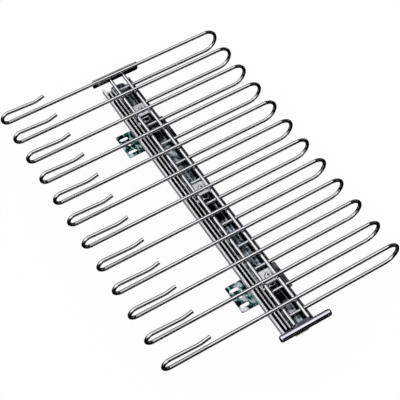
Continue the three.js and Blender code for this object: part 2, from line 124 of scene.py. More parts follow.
def applyModifier(piece, kind, **settings):
    makeActive(piece)
    modifier = piece.modifiers.new(kind.title(), kind)
    for key, value in settings.items():
        setattr(modifier, key, value)
    bpy.ops.object.modifier_apply(modifier=modifier.name)


def smooth(piece, degrees=35):
    makeActive(piece)
    bpy.ops.object.shade_smooth_by_angle(angle=math.radians(degrees))
    # Flat faces stay flat beside a bevel
    applyModifier(piece, "WEIGHTED_NORMAL", keep_sharp=True, weight=100)


def roundEdges(piece, width, segments=2, degrees=40):
    applyModifier(piece, "BEVEL", width=width, segments=segments, limit_method="ANGLE",
                  angle_limit=math.radians(degrees), use_clamp_overlap=True)


def outwardFaces(piece):
    openEdit(piece)
    bpy.ops.mesh.select_all(action="SELECT")
    bpy.ops.mesh.remove_doubles(threshold=mergeDistance)
    bpy.ops.mesh.normals_make_consistent(inside=False)
    closeEdit()


def drillOut(piece, tools):
    for tool in tools:
        applyModifier(piece, "BOOLEAN", operation="DIFFERENCE", solver="EXACT", object=tool)
        bpy.data.objects.remove(tool)


def joinInto(piece, others):
    clearSelection()
    for other in others:
        other.select_set(True)
    piece.select_set(True)
    bpy.context.view_layer.objects.active = piece
    bpy.ops.object.join()


def copyPiece(piece, name, y):
    copy = piece.copy()
    copy.data = piece.data.copy()
    copy.name = name
    copy.data.name = name
    copy.data.transform(Matrix.Translation((0, y, 0)))
    bpy.context.scene.collection.objects.link(copy)
    return copy


def centreOf(node):
    low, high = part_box(node)
    return (low + high) / 2


def standFor(piece, node, material):
    piece.data.materials.clear()
    piece.data.materials.append(material)
    body = frame["nodes"][node]["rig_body"]
    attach(piece, body)
    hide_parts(node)


# Shader building

class Signal:
    def __init__(self, paint, socket):
        self.paint = paint
        self.socket = socket

    def combine(self, operation, first, second):
        return self.paint.node("Math", {"operation": operation}, {0: first, 1: second})

    def __add__(self, other):
        return self.combine("ADD", self, other)

    def __radd__(self, other):
        return self.combine("ADD", other, self)

    def __sub__(self, other):
        return self.combine("SUBTRACT", self, other)

    def __rsub__(self, other):
        return self.combine("SUBTRACT", other, self)

    def __mul__(self, other):
        return self.combine("MULTIPLY", self, other)

    def __rmul__(self, other):
        return self.combine("MULTIPLY", other, self)


class Paint:
    def __init__(self, name, world=None):
        owner = world or bpy.data.materials.new(name)
        owner.use_nodes = True
        self.owner = owner
        self.tree = owner.node_tree
        self.tree.nodes.clear()

    def node(self, kind, settings, sockets, output=0):
        made = self.tree.nodes.new("ShaderNode" + kind)
        for key, value in settings.items():
            if key == "stops":
                self.setStops(made.color_ramp, value)
            else:
                setattr(made, key, value)
        for key, value in sockets.items():
            if isinstance(value, Signal):
                self.tree.links.new(value.socket, made.inputs[key])
            else:
                made.inputs[key].default_value = value
        return Signal(self, made.outputs[output])

    def setStops(self, ramp, stops):
        while len(ramp.elements) < len(stops):
            ramp.elements.new(1.0)
        for element, (place, colour) in zip(ramp.elements, stops):
            element.position = place
            element.color = (*colour, 1.0)

    def objectPlace(self, scale=(1, 1, 1)):
        place = self.node("TexCoord", {}, {}, output="Object")
        return self.node("Mapping", {}, {"Vector": place, "Scale": scale})

    def noise(self, place, scale, detail, roughness=0.5):
        return self.node("TexNoise", {}, {"Vector": place, "Scale": scale, "Detail": detail,
                                          "Roughness": roughness}, output="Fac")

    def ramp(self, value, stops):
        return self.node("ValToRGB", {"stops": stops}, {"Fac": value}, output="Color")

    def mix(self, share, first, second):
        return self.node("Mix", {"data_type": "RGBA"}, {0: share, 6: first, 7: second}, output=2)

    def along(self, axis):
        place = self.node("TexCoord", {}, {}, output="Object")
        return self.node("SeparateXYZ", {}, {"Vector": place}, output=axis)

    def size(self, value):
        return self.node("Math", {"operation": "ABSOLUTE"}, {0: value})

    def rise(self, value, start, end):
        return self.node("MapRange", {"clamp": True}, {"Value": value, "From Min": start, "From Max": end})

    def bump(self, height, strength, distance):
        return self.node("Bump", {}, {"Height": height, "Strength": strength, "Distance": distance})

    def finish(self, shader, kind="Material"):
        made = self.tree.nodes.new("ShaderNodeOutput" + kind)
        self.tree.links.new(shader.socket, made.inputs["Surface"])
        return self.owner


def metal(paint, colour, roughness, normal, metallic=1.0):
    shader = paint.node("BsdfPrincipled", {}, {"Metallic": metallic, "Base Color": colour,
                                               "Roughness": roughness, "Normal": normal})
    return paint.finish(shader)


# Finishes

chromeSet = {"cloudScale": 26.0, "cloudDetail": 3.0, "waveScale": 70.0, "waveDetail": 2.0,
             "rough": 0.02, "roughMore": 0.04, "bump": 0.02, "depth": 0.0006}


def makeChrome(name, stops, rough=chromeSet["rough"], metallic=1.0, layers=(), dullShare=None):
    paint = Paint(name)
    place = paint.objectPlace()
    cloud = paint.noise(place, chromeSet["cloudScale"], chromeSet["cloudDetail"])
    wave = paint.noise(place, chromeSet["waveScale"], chromeSet["waveDetail"])
    colour = paint.ramp(cloud, stops)
    for share, layerStops in layers:
        colour = paint.mix(share(paint), colour, paint.ramp(cloud, layerStops))
    if dullShare:
        metallic = metallic - dullShare(paint) * metallic
    roughness = cloud * chromeSet["roughMore"] + rough
    normal = paint.bump(wave, chromeSet["bump"], chromeSet["depth"])
    return metal(paint, colour, roughness, normal, metallic)


railSet = {"streak": (420, 9, 420), "streakDetail": 4.0, "cloudScale": 30.0, "cloudDetail": 4.0,
           "cloudRough": 0.6, "cloudShare": 0.65, "rough": 0.20, "roughMore": 0.16,
           "bump": 0.25, "depth": 0.0003}


def makeRail(name, stops, layers=(), dullShare=None, cloudScale=railSet["cloudScale"]):
    paint = Paint(name)
    streakPlace = paint.objectPlace(railSet["streak"])
    streak = paint.noise(streakPlace, 1.0, railSet["streakDetail"])
    cloud = paint.noise(paint.objectPlace(), cloudScale, railSet["cloudDetail"], railSet["cloudRough"])
    tone = cloud * railSet["cloudShare"] + streak * (1 - railSet["cloudShare"])
    colour = paint.ramp(tone, stops)
    for share, layerStops in layers:
        colour = paint.mix(share(paint), colour, paint.ramp(tone, layerStops))
    metallic = 1 - dullShare(paint) if dullShare else 1.0
    roughness = streak * railSet["roughMore"] + railSet["rough"]
    return metal(paint, colour, roughness, paint.bump(streak, railSet["bump"], railSet["depth"]), metallic)


bracketSet = {"cloudScale": 90.0, "cloudDetail": 4.0, "cloudRough": 0.65, "cloudShare": 0.6,
              "veinScale": (220, 70, 220), "veinDetail": 3.0, "rough": 0.16, "roughMore": 0.2,
              "bump": 0.2, "depth": 0.0004, "shadeStart": 32 * mm, "shadeEnd": 34 * mm,
              "frontLighter": 0.022, "lighterFrom": -0.1, "lighterTo": 0.1,
              "stops": [(0.425, (0.000, 0.006, 0.005)), (0.470, (0.004, 0.042, 0.038)),
                        (0.50, (0.08, 0.22, 0.21)), (0.53, (0.44, 0.72, 0.72)), (0.56, (0.98, 1.0, 1.0))],
              "shadeStops": [(0.40, (0.004, 0.004, 0.004)), (0.50, (0.03, 0.03, 0.032)),
                             (0.62, (0.22, 0.22, 0.23))]}


def makeBracketZinc():
    paint = Paint("passivatedBracket")
    share = bracketSet["cloudShare"]
    cloud = paint.noise(paint.objectPlace(), bracketSet["cloudScale"], bracketSet["cloudDetail"],
                        bracketSet["cloudRough"])
    vein = paint.noise(paint.objectPlace(bracketSet["veinScale"]), 1.0, bracketSet["veinDetail"])
    toRear = paint.rise(paint.along("Y"), bracketSet["lighterFrom"], bracketSet["lighterTo"])
    tone = cloud * share + vein * (1 - share) + (1 - toRear) * bracketSet["frontLighter"]
    shaded = paint.rise(paint.along("X"), bracketSet["shadeStart"], bracketSet["shadeEnd"])
    colour = paint.mix(shaded, paint.ramp(tone, bracketSet["stops"]),
                       paint.ramp(tone, bracketSet["shadeStops"]))
    roughness = cloud * bracketSet["roughMore"] + bracketSet["rough"]
    return metal(paint, colour, roughness, paint.bump(vein, bracketSet["bump"], bracketSet["depth"]))


rubberSet = {"grainScale": 900.0, "grainDetail": 3.0, "rough": 0.6, "roughMore": 0.2,
             "bump": 0.3, "depth": 0.0002,
             "stops": [(0.3, (0.022, 0.02, 0.024)), (0.7, (0.05, 0.046, 0.052))]}


def makeRubber():
    paint = Paint("bumperRubber")
    grain = paint.noise(paint.objectPlace(), rubberSet["grainScale"], rubberSet["grainDetail"])
    shader = paint.node("BsdfPrincipled", {}, {
        "Base Color": paint.ramp(grain, rubberSet["stops"]),
        "Roughness": grain * rubberSet["roughMore"] + rubberSet["rough"],
        "Normal": paint.bump(grain, rubberSet["bump"], rubberSet["depth"])})
    return paint.finish(shader)


chromeStops = [(0.3, (0.84, 0.84, 0.86)), (0.7, (0.94, 0.94, 0.96))]
rearPlateStops = [(0.3, (0.46, 0.46, 0.49)), (0.7, (0.58, 0.58, 0.62))]
handlePlateStops = [(0.3, (0.20, 0.19, 0.19)), (0.7, (0.27, 0.26, 0.26))]
# Dark stops for the painted reflection on the rear plate's face
plateDarkReflectionStops = [(0.3, (0.09, 0.09, 0.10)), (0.7, (0.15, 0.15, 0.16))]
# Dark stops for the painted reflection on the handle plate's top face
plateTopReflectionStops = [(0.3, (0.05, 0.05, 0.08)), (0.7, (0.09, 0.09, 0.13))]
lipStops = [(0.40, (0.88, 0.88, 0.90)), (0.60, (0.98, 0.98, 1.0))]
# Grey stops for painted shade on the outer faces of the slide's walls
wallShadeStops = [(0.3, (0.22, 0.22, 0.24)), (0.7, (0.36, 0.36, 0.39))]
# Dark stops for painted shade on the far lip of the outer member
farLipShadeStops = [(0.3, (0.10, 0.10, 0.12)), (0.7, (0.22, 0.22, 0.25))]
# Pale stops for the painted highlight on the inner member's near bend
bendHighlightStops = [(0.385, (0.60, 0.60, 0.62)), (0.453, (0.90, 0.90, 0.92)), (0.52, (0.99, 0.99, 1.0))]
webStops = [(0.410, (0.001, 0.001, 0.003)), (0.462, (0.012, 0.020, 0.028)), (0.50, (0.045, 0.068, 0.082)),
            (0.540, (0.18, 0.22, 0.25)), (0.595, (0.70, 0.75, 0.80))]
# Dim pale stops for the painted highlights on the inner web's strip and far bend
dimHighlightStops = [(0.410, (0.06, 0.07, 0.08)), (0.50, (0.25, 0.29, 0.31)), (0.595, (0.80, 0.84, 0.88))]
# Near-black stops for painted shade: the shadow ahead of each riser on the inner web and the screw's lower
# rim
paintedShadeStops = [(0.46, (0.001, 0.001, 0.002)), (0.54, (0.008, 0.008, 0.012)), (0.62, (0.22, 0.22, 0.24))]
steelStops = [(0.3, (0.34, 0.34, 0.36)), (0.7, (0.52, 0.52, 0.54))]
# Near-black stops: grease together with painted shade in the slide's gaps and cages, and painted shade on the
# riser nuts and rivets
greaseAndShadeStops = [(0.4, (0.001, 0.001, 0.002)), (0.6, (0.006, 0.006, 0.008)), (0.75, (0.05, 0.05, 0.055))]
handleStops = [(0.3, (0.80, 0.79, 0.87)), (0.7, (0.90, 0.89, 0.97))]
bridgeStops = [(0.3, (0.74, 0.74, 0.77)), (0.7, (0.92, 0.92, 0.96))]
# Near-white stops for the painted highlight on the riser foot's front edge
footHighlightStops = [(0.3, (0.94, 0.94, 0.95)), (0.7, (0.99, 0.99, 1.0))]

plateFinishSet = {"satinRough": 0.08, "faceFrom": 2.5 * mm, "faceTo": 2 * mm,
                  "handleRough": 0.3, "handleMetallic": 0.1, "edgeFrom": 0.5 * mm, "edgeTo": 0.3 * mm}


def nearTop(paint, node, start, end):
    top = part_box(node)[1].z
    return paint.rise(paint.along("Z"), top - start, top - end)


# Painted dark reflection: the rear plate takes the dark stops below its top 2 mm, standing in for the dark
# surroundings it mirrors
def rearPlateDarkReflection(paint):
    return 1 - nearTop(paint, "rear_plate", plateFinishSet["faceFrom"], plateFinishSet["faceTo"])


# Painted dark reflection: the top face of the handle plate is coloured darker than the rest of the plate
def handlePlateTopReflection(paint):
    return nearTop(paint, "handle_plate", plateFinishSet["edgeFrom"], plateFinishSet["edgeTo"])


chrome = makeChrome("brightChrome", chromeStops)
rearPlateChrome = makeChrome("rearPlateChrome", rearPlateStops, plateFinishSet["satinRough"],
                             layers=[(rearPlateDarkReflection, plateDarkReflectionStops)])
handlePlateChrome = makeChrome("handlePlateChrome", handlePlateStops, plateFinishSet["handleRough"],
                               plateFinishSet["handleMetallic"], [(handlePlateTopReflection, plateTopReflectionStops)])
handleChrome = makeChrome("handleChrome", handleStops)
bridgeChrome = makeChrome("bridgeChrome", bridgeStops, plateFinishSet["satinRough"])
plainSteel = makeRail("plainSteel", steelStops)
# Near-black steel for the riser nuts and rivets under the flanges: painted shade
paintedShadeSteel = makeRail("paintedShadeSteel", greaseAndShadeStops)
bracketZinc = makeBracketZinc()
rubber = makeRubber()
print("finishes made")


# Camera, at the photograph's viewing angle

cameraSet = {"azimuth": -28.38, "elevation": 54.14, "roll": -3.28, "distance": 1.38163,
             "target": (-0.00759, -0.03396, 0.0), "pixels": 400, "focalPixels": 1070.59,
             "sensor": 36.0, "offAxisPixels": 0.5, "near": 0.05, "far": 50.0}


def addCamera(strandCentre):
    azimuth = math.radians(cameraSet["azimuth"])
    elevation = math.radians(cameraSet["elevation"])
    roll = math.radians(cameraSet["roll"])
    back = Vector((math.sin(azimuth) * math.cos(elevation),
                   -math.cos(azimuth) * math.cos(elevation), math.sin(elevation)))
    right = (-back).cross(Vector((0, 0, 1))).normalized()
    up = right.cross(-back)
    rolledRight = right * math.cos(roll) + up * math.sin(roll)
    rolledUp = up * math.cos(roll) - right * math.sin(roll)
    lens = bpy.data.cameras.new("camera")
    lens.sensor_width = cameraSet["sensor"]
    lens.lens = cameraSet["focalPixels"] / cameraSet["pixels"] * cameraSet["sensor"]
    lens.shift_x = -cameraSet["offAxisPixels"] / cameraSet["pixels"]
    lens.shift_y = cameraSet["offAxisPixels"] / cameraSet["pixels"]
    lens.clip_start = cameraSet["near"]
    lens.clip_end = cameraSet["far"]
    camera = bpy.data.objects.new("camera", lens)
    turn = Matrix((rolledRight, rolledUp, back)).transposed().to_4x4()
    place = strandCentre + Vector(cameraSet["target"]) + back * cameraSet["distance"]
    camera.matrix_world = Matrix.Translation(place) @ turn
    bpy.context.scene.collection.objects.link(camera)
    bpy.context.scene.camera = camera


# Heights and places that the pieces share, read from the frame

hangerCount = 12
wireRadius = 2.5 * mm
frameWireSides = 8  # the frame's wire is eight-sided, so its flats lie inside the radius
firstHanger = centreOf("hanger_01")
lastHanger = centreOf(f"hanger_{hangerCount:02d}")
loopHeight = 36.5 * mm
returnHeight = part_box("hanger_01")[0].z + wireRadius * math.cos(math.pi / frameWireSides)
strandHeight = returnHeight + loopHeight
addCamera(Vector((0.0, (firstHanger.y + lastHanger.y) / 2, strandHeight)))


# Wire

hangerSet = {"sides": 20, "endRound": 0.35 * mm, "endSegments": 2, "bendSteps": 20, "smoothAngle": 50,
             "tip": 169.5 * mm, "returnEnd": 6.8 * mm, "hookHeight": 19 * mm, "hookClosing": 0.06,
             "arm": 36 * mm, "flareTurn": 0.37, "flareRadius": 24 * mm, "flareTail": 10 * mm, "flareSteps": 8}


def bentWire(name, start, legs):
    piece = startPiece(name, bpy.ops.mesh.primitive_circle_add, vertices=hangerSet["sides"],
                       radius=wireRadius, fill_type="NGON", location=start,
                       rotation=(0, quarterTurn, 0))
    openEdit(piece)
    bpy.ops.mesh.select_all(action="SELECT")
    place = Vector(start)
    heading = 0.0
    for leg in legs:
        if "run" in leg:
            step = Vector((math.cos(heading), 0, math.sin(heading))) * leg["run"]
            extrude(*step)
            place += step
        else:
            toCentre = math.copysign(leg["radius"], leg["turn"])
            centre = place + Vector((-math.sin(heading), 0, math.cos(heading))) * toCentre
            bpy.ops.mesh.spin(steps=leg["steps"], angle=abs(leg["turn"]), center=centre,
                              axis=(0, math.copysign(1, leg["turn"]), 0))
            heading += leg["turn"]
            place = centre - Vector((-math.sin(heading), 0, math.cos(heading))) * toCentre
    pick(piece, "FACE", lambda face: len(face.verts) == hangerSet["sides"])
    bpy.ops.mesh.bevel(offset=hangerSet["endRound"], segments=hangerSet["endSegments"], affect="EDGES")
    closeEdit()
    outwardFaces(piece)
    smooth(piece, hangerSet["smoothAngle"])
    return piece


def makeHangers():
    loopRadius = loopHeight / 2
    hookRadius = hangerSet["hookHeight"] / 2
    start = (hangerSet["returnEnd"], firstHanger.y, returnHeight)
    legs = [
        {"run": hangerSet["tip"] - loopRadius - hangerSet["returnEnd"]},
        {"turn": math.pi, "radius": loopRadius, "steps": hangerSet["bendSteps"]},
        {"run": 2 * hangerSet["tip"] - loopRadius - hookRadius},
        {"turn": -math.pi - hangerSet["hookClosing"], "radius": hookRadius, "steps": hangerSet["bendSteps"]},
        {"run": hangerSet["arm"]},
        {"turn": hangerSet["flareTurn"], "radius": hangerSet["flareRadius"],
         "steps": hangerSet["flareSteps"]},
        {"run": hangerSet["flareTail"]},
    ]
    first = bentWire("hangerWire01", start, legs)
    for number in range(2, hangerCount + 1):
        node = f"hanger_{number:02d}"
        hanger = copyPiece(first, f"hangerWire{number:02d}", centreOf(node).y - firstHanger.y)
        standFor(hanger, node, chrome)
    standFor(first, "hanger_01", chrome)


rodSet = {"sides": 24, "endRound": 0.4 * mm}


def makeRod(name, node):
    low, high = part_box(node)
    piece = startPiece(name, bpy.ops.mesh.primitive_cylinder_add, vertices=rodSet["sides"],
                       radius=wireRadius, depth=high.y - low.y, location=(low + high) / 2,
                       rotation=(quarterTurn, 0, 0))
    roundEdges(piece, rodSet["endRound"])
    smooth(piece)
    standFor(piece, node, chrome)


makeHangers()
makeRod("rodLeft", "rod_left")
makeRod("rodRight", "rod_right")
print("wire frame made")


# Plates and handle

plateSet = {"corner": 3 * mm, "cornerSegments": 6, "edge": 0.25 * mm}


def makeUprightPlate(name, node, finish):
    low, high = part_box(node)
    size = high - low
    piece = startPiece(name, bpy.ops.mesh.primitive_cube_add, size=1, location=(low + high) / 2,
                       scale=size)
    openEdit(piece)
    pick(piece, "EDGE", lambda edge: abs(edge.verts[0].co.y - edge.verts[1].co.y) > size.y / 2)
    bpy.ops.mesh.bevel(offset=plateSet["corner"], segments=plateSet["cornerSegments"], affect="EDGES")
    closeEdit()
    roundEdges(piece, plateSet["edge"])
    smooth(piece)
    standFor(piece, node, finish)


handleSet = {"sides": 40, "dome": 3 * mm, "domeSteps": 8, "smoothAngle": 50, "tolerance": mm / 10}


def makeHandleBar():
    low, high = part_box("handle_bar")
    radius = (high.z - low.z) / 2
    piece = startPiece("handleBar", bpy.ops.mesh.primitive_cylinder_add, vertices=handleSet["sides"],
                       radius=radius, depth=high.x - low.x, location=(low + high) / 2,
                       rotation=(0, quarterTurn, 0))
    openEdit(piece)
    pick(piece, "EDGE", lambda edge: min(
        abs(middle(edge).x - low.x), abs(middle(edge).x - high.x)) < handleSet["tolerance"])
    bpy.ops.mesh.bevel(offset=handleSet["dome"], segments=handleSet["domeSteps"], affect="EDGES")
    closeEdit()
    smooth(piece, handleSet["smoothAngle"])
    standFor(piece, "handle_bar", handleChrome)


makeUprightPlate("rearPlate", "rear_plate", rearPlateChrome)
makeUprightPlate("handlePlate", "handle_plate", handlePlateChrome)
makeHandleBar()
print("plates and handle made")


# Folded sheet of the slide

slideLow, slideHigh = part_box("outer_member")
slideX = (slideLow.x + slideHigh.x) / 2
slideHalf = (slideHigh.x - slideLow.x) / 2
slideSet = {"sheet": 1.2 * mm, "bend": 0.7 * mm, "bendSegments": 4, "edge": 0.15 * mm, "edgeAngle": 60,
            "curlTurn": 2.0, "curlSteps": 8, "tolerance": mm / 50, "fade": 0.3 * mm,
            "greaseAndShadeFade": 4 * mm, "middleInset": 1.5 * mm,
            "outerBall": 4.4 * mm, "outerBallHeight": 7.65 * mm,
            "innerBall": 3.6 * mm, "innerBallHeight": 9.05 * mm}


def pickLip(piece, x, z):
    def isNear(vert):
        return (abs(vert.co.x - slideX - x) < slideSet["tolerance"]
                and abs(vert.co.z - z) < slideSet["tolerance"])

    pick(piece, "EDGE", lambda edge: all(isNear(vert) for vert in edge.verts))


def foldChannel(name, low, high, corners, sheet, bend, curl=0.0):
    firstX, firstZ = corners[0]
    piece = startPiece(name, bpy.ops.mesh.primitive_plane_add, size=1,
                       location=(slideX, (low + high) / 2, firstZ), scale=(2 * firstX, high - low, 1))
    openEdit(piece)
    for side in (-1, 1):
        x, z = firstX, firstZ
        for nextX, nextZ in corners[1:]:
            pickLip(piece, side * x, z)
            extrude(side * (nextX - x), 0, nextZ - z)
            x, z = nextX, nextZ
    pick(piece, "EDGE", lambda edge: len(edge.link_faces) == 2)
    bpy.ops.mesh.bevel(offset=bend, segments=slideSet["bendSegments"], affect="EDGES", clamp_overlap=True)
    if curl:
        for side in (-1, 1):
            pickLip(piece, side * x, z)
            bpy.ops.mesh.spin(steps=slideSet["curlSteps"], angle=slideSet["curlTurn"], axis=(0, side, 0),
                              center=(slideX + side * (x - curl), 0, z))
    closeEdit()
    applyModifier(piece, "SOLIDIFY", thickness=sheet, offset=0.0)
    outwardFaces(piece)
    return piece


def roundSheet(piece):
    roundEdges(piece, slideSet["edge"], degrees=slideSet["edgeAngle"])
    smooth(piece)


def beyond(paint, half, side=0):
    across = paint.along("X") - slideX
    across = across * side if side else paint.size(across)
    return paint.rise(across, half, half + slideSet["fade"])


def below(paint, top):
    return 1 - paint.rise(paint.along("Z"), top - slideSet["fade"], top)


# Grease and painted shade: the inner faces of the walls and the web between them are near-black, partly for
# grease and partly for the shade in the narrow gaps
def greaseAndShadeBetween(paint, half, top, rear):
    covered = 1 - paint.rise(paint.along("Y"), rear, rear + slideSet["greaseAndShadeFade"])
    return (1 - beyond(paint, half)) * below(paint, top) * covered


# The middle of a web, under the inner member until the rack is pulled out, is clean of grease
innerLow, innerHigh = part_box("inner_member")
middleHalf = (innerHigh.x - innerLow.x) / 2 - slideSet["middleInset"]


def webMiddle(paint):
    return 1 - beyond(paint, middleHalf)


outerSet = {"foot": 1.7 * mm, "curl": 0.9 * mm, "litHeight": 2.5 * mm, "wallFace": 0.4 * mm,
            "greaseAndShadeInset": 0.5 * mm, "greaseAndShadeDrop": 1.1 * mm, "greaseAndShadeRear": 5 * mm,
            "shadedFarLip": 3 * mm, "litNearLip": 1.5 * mm}


def makeOuterMember():
    sheet = slideSet["sheet"]
    curl = outerSet["curl"]
    wall = slideHalf - sheet / 2
    web = slideLow.z + sheet / 2
    top = slideHigh.z
    piece = foldChannel("outerMember", slideLow.y, slideHigh.y, [
        (wall - outerSet["foot"], web), (wall, web + outerSet["foot"]), (wall, top - sheet / 2 - curl),
    ], sheet, slideSet["bend"], curl)
    roundSheet(piece)
    greaseAndShade = lambda paint: greaseAndShadeBetween(paint, wall - outerSet["greaseAndShadeInset"],
                                         top - outerSet["greaseAndShadeDrop"], slideHigh.y - outerSet["greaseAndShadeRear"])
    # Painted shade: the outer face of each wall is grey below the lit top band, which keeps the pale lip
    # colour
    shadedWallSide = lambda paint: (beyond(paint, slideHalf - outerSet["wallFace"])
                              * below(paint, top - outerSet["litHeight"]))
    # Painted shade: the far lip is coloured darker than the near lip
    shadedFarLip = lambda paint: beyond(paint, slideHalf - outerSet["shadedFarLip"], 1)
    # Painted highlight: the near lip is made non-metallic, so its pale colour shows white
    litNearLip = lambda paint: beyond(paint, slideHalf - outerSet["litNearLip"], -1)
    finish = makeRail("outerZincRail", lipStops, [
        (shadedWallSide, wallShadeStops), (shadedFarLip, farLipShadeStops), (greaseAndShade, greaseAndShadeStops), (webMiddle, steelStops),
    ], litNearLip)
    standFor(piece, "outer_member", finish)


middleSet = {"curl": 0.8 * mm, "waist": 0.4 * mm, "greaseAndShadeDrop": 0.95 * mm, "litNearLip": 1.2 * mm}


def makeIntermediateMember():
    low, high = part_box("intermediate_member")
    sheet = slideSet["sheet"]
    curl = middleSet["curl"]
    half = (high.x - low.x) / 2
    wall = half - sheet / 2
    web = low.z + sheet / 2
    waistHeight = slideLow.z + slideSet["outerBallHeight"]
    top = high.z - sheet / 2 - curl
    piece = foldChannel("intermediateMember", low.y, high.y, [
        (wall - sheet, web), (wall, web + sheet), (wall - middleSet["waist"], waistHeight), (wall, top),
    ], sheet, slideSet["bend"], curl)
    roundSheet(piece)
    greaseAndShade = lambda paint: greaseAndShadeBetween(paint, slideHalf, high.z - middleSet["greaseAndShadeDrop"], slideHigh.y)
    # Painted highlight: the near lip is made non-metallic, so its pale colour shows white
    litNearLip = lambda paint: beyond(paint, half - middleSet["litNearLip"], -1)
    finish = makeRail("middleZincRail", lipStops, [(greaseAndShade, greaseAndShadeStops), (webMiddle, steelStops)], litNearLip)
    standFor(piece, "intermediate_member", finish)


innerSet = {"holeDiameter": 5 * mm, "holeShares": [-0.467, -0.283, -0.127, 0.129, 0.26, 0.427],
            "drillDepth": 6 * mm, "drillSides": 32, "bend": 1.3 * mm, "lean": 0.4 * mm,
            "leanHeight": 2 * mm, "lipHeight": 0.1 * mm, "endRadius": 8 * mm, "endSegments": 12,
            "cloudScale": 90.0, "nearHighlight": 1.6 * mm, "farHighlight": 2.6 * mm, "farEdge": 0.6 * mm,
            "highlightHeight": 3.5 * mm, "darkMiddle": 20 * mm, "darkHalf": 19 * mm, "darkFade": 6 * mm,
            "bandX": 2.6 * mm, "bandHalf": 1.2 * mm, "bandFade": 1.2 * mm}


# Painted shadow: a band of the inner web in front of each riser is coloured near-black
def shadowAheadOfRisers(paint):
    covered = 0.0
    for name in riserNames:
        ahead = centreOf(f"riser_{name}").y - innerSet["darkMiddle"]
        away = paint.size(paint.along("Y") - ahead)
        covered = covered + (
            1 - paint.rise(away, innerSet["darkHalf"], innerSet["darkHalf"] + innerSet["darkFade"]))
    return covered


def makeInnerMember():
    low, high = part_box("inner_member")
    sheet = slideSet["sheet"]
    half = (high.x - low.x) / 2
    wall = half - sheet / 2
    leaning = wall - innerSet["lean"]
    web = high.z - sheet / 2
    piece = foldChannel("innerMember", low.y, high.y, [
        (leaning, web), (leaning, low.z + innerSet["leanHeight"]), (wall, low.z + innerSet["lipHeight"]),
    ], sheet, innerSet["bend"])
    # A tall block with rounded corners cuts the ends round
    plan = startPiece("plan", bpy.ops.mesh.primitive_cube_add, size=1, location=(low + high) / 2,
                      scale=(high.x - low.x, high.y - low.y, 4 * (high.z - low.z)))
    openEdit(plan)
    pick(plan, "EDGE", lambda edge: abs(edge.verts[0].co.z - edge.verts[1].co.z) > mm)
    bpy.ops.mesh.bevel(offset=innerSet["endRadius"], segments=innerSet["endSegments"], affect="EDGES")
    closeEdit()
    applyModifier(piece, "BOOLEAN", operation="INTERSECT", solver="EXACT", object=plan)
    bpy.data.objects.remove(plan)
    holes = []
    for share in innerSet["holeShares"]:
        y = (firstHanger.y + lastHanger.y) / 2 + share * (slideHigh.y - slideLow.y)
        holes.append(startPiece("drill", bpy.ops.mesh.primitive_cylinder_add,
                                vertices=innerSet["drillSides"], radius=innerSet["holeDiameter"] / 2,
                                depth=innerSet["drillDepth"], location=(slideX, y, web)))
    drillOut(piece, holes)
    roundSheet(piece)
    upper = lambda paint: 1 - below(paint, high.z - innerSet["highlightHeight"])
    # Painted highlights: the upper part of the near bend is pale and made non-metallic, and a dimmer pale
    # strip runs along the far bend
    nearBendHighlight = lambda paint: beyond(paint, half - innerSet["nearHighlight"], -1) * upper(paint)
    farBendHighlight = lambda paint: (beyond(paint, half - innerSet["farHighlight"], 1)
                             * (1 - beyond(paint, half - innerSet["farEdge"], 1)))
    # Painted highlight: a dim pale strip runs along the web beside the slide's middle
    highlightBand = lambda paint: 1 - paint.rise(
        paint.size(paint.along("X") - (slideX + innerSet["bandX"])), innerSet["bandHalf"],
        innerSet["bandHalf"] + innerSet["bandFade"])
    finish = makeRail("innerZincRail", webStops, [
        (highlightBand, dimHighlightStops), (shadowAheadOfRisers, paintedShadeStops), (nearBendHighlight, bendHighlightStops), (farBendHighlight, dimHighlightStops),
    ], nearBendHighlight, innerSet["cloudScale"])
    standFor(piece, "inner_member", finish)


cageSet = {"sheet": 0.8 * mm, "height": 8 * mm, "bend": 0.2 * mm,
           "balls": 14, "ballSegments": 16, "ballRings": 10}
# The ball cages take the near-black grease and painted shade, with a paler middle
cageSteel = makeRail("cageSteel", greaseAndShadeStops, [(webMiddle, steelStops)])


def makeBallCage(name, node, ballDiameter, ballHeight):
    low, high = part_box(node)
    half = (high.x - low.x) / 2 - ballDiameter / 2
    sheet = cageSet["sheet"]
    cage = foldChannel(name, low.y, high.y, [
        (half, low.z + sheet / 2), (half, low.z + cageSet["height"])], sheet, cageSet["bend"])
    pitch = (high.y - low.y) / cageSet["balls"]
    balls = []
    for side in (-1, 1):
        for i in range(cageSet["balls"]):
            place = (slideX + side * half, low.y + (i + 0.5) * pitch, slideLow.z + ballHeight)
            balls.append(startPiece("ball", bpy.ops.mesh.primitive_uv_sphere_add,
                                    segments=cageSet["ballSegments"], ring_count=cageSet["ballRings"],
                                    radius=ballDiameter / 2, location=place))
    joinInto(cage, balls)
    smooth(cage)
    standFor(cage, node, cageSteel)


makeOuterMember()
makeIntermediateMember()
makeInnerMember()
makeBallCage("outerBallCage", "outer_ball_cage", slideSet["outerBall"], slideSet["outerBallHeight"])
makeBallCage("innerBallCage", "inner_ball_cage", slideSet["innerBall"], slideSet["innerBallHeight"])
print("slide made")


# Plates, risers and fixings taken from the frame, merged and given rolled edges

carriedSet = {"flatAngle": 1, "edge": 0.25 * mm, "edgeAngle": 50, "rivetEdge": 0.1 * mm,
              "bumperEdge": 0.5 * mm}


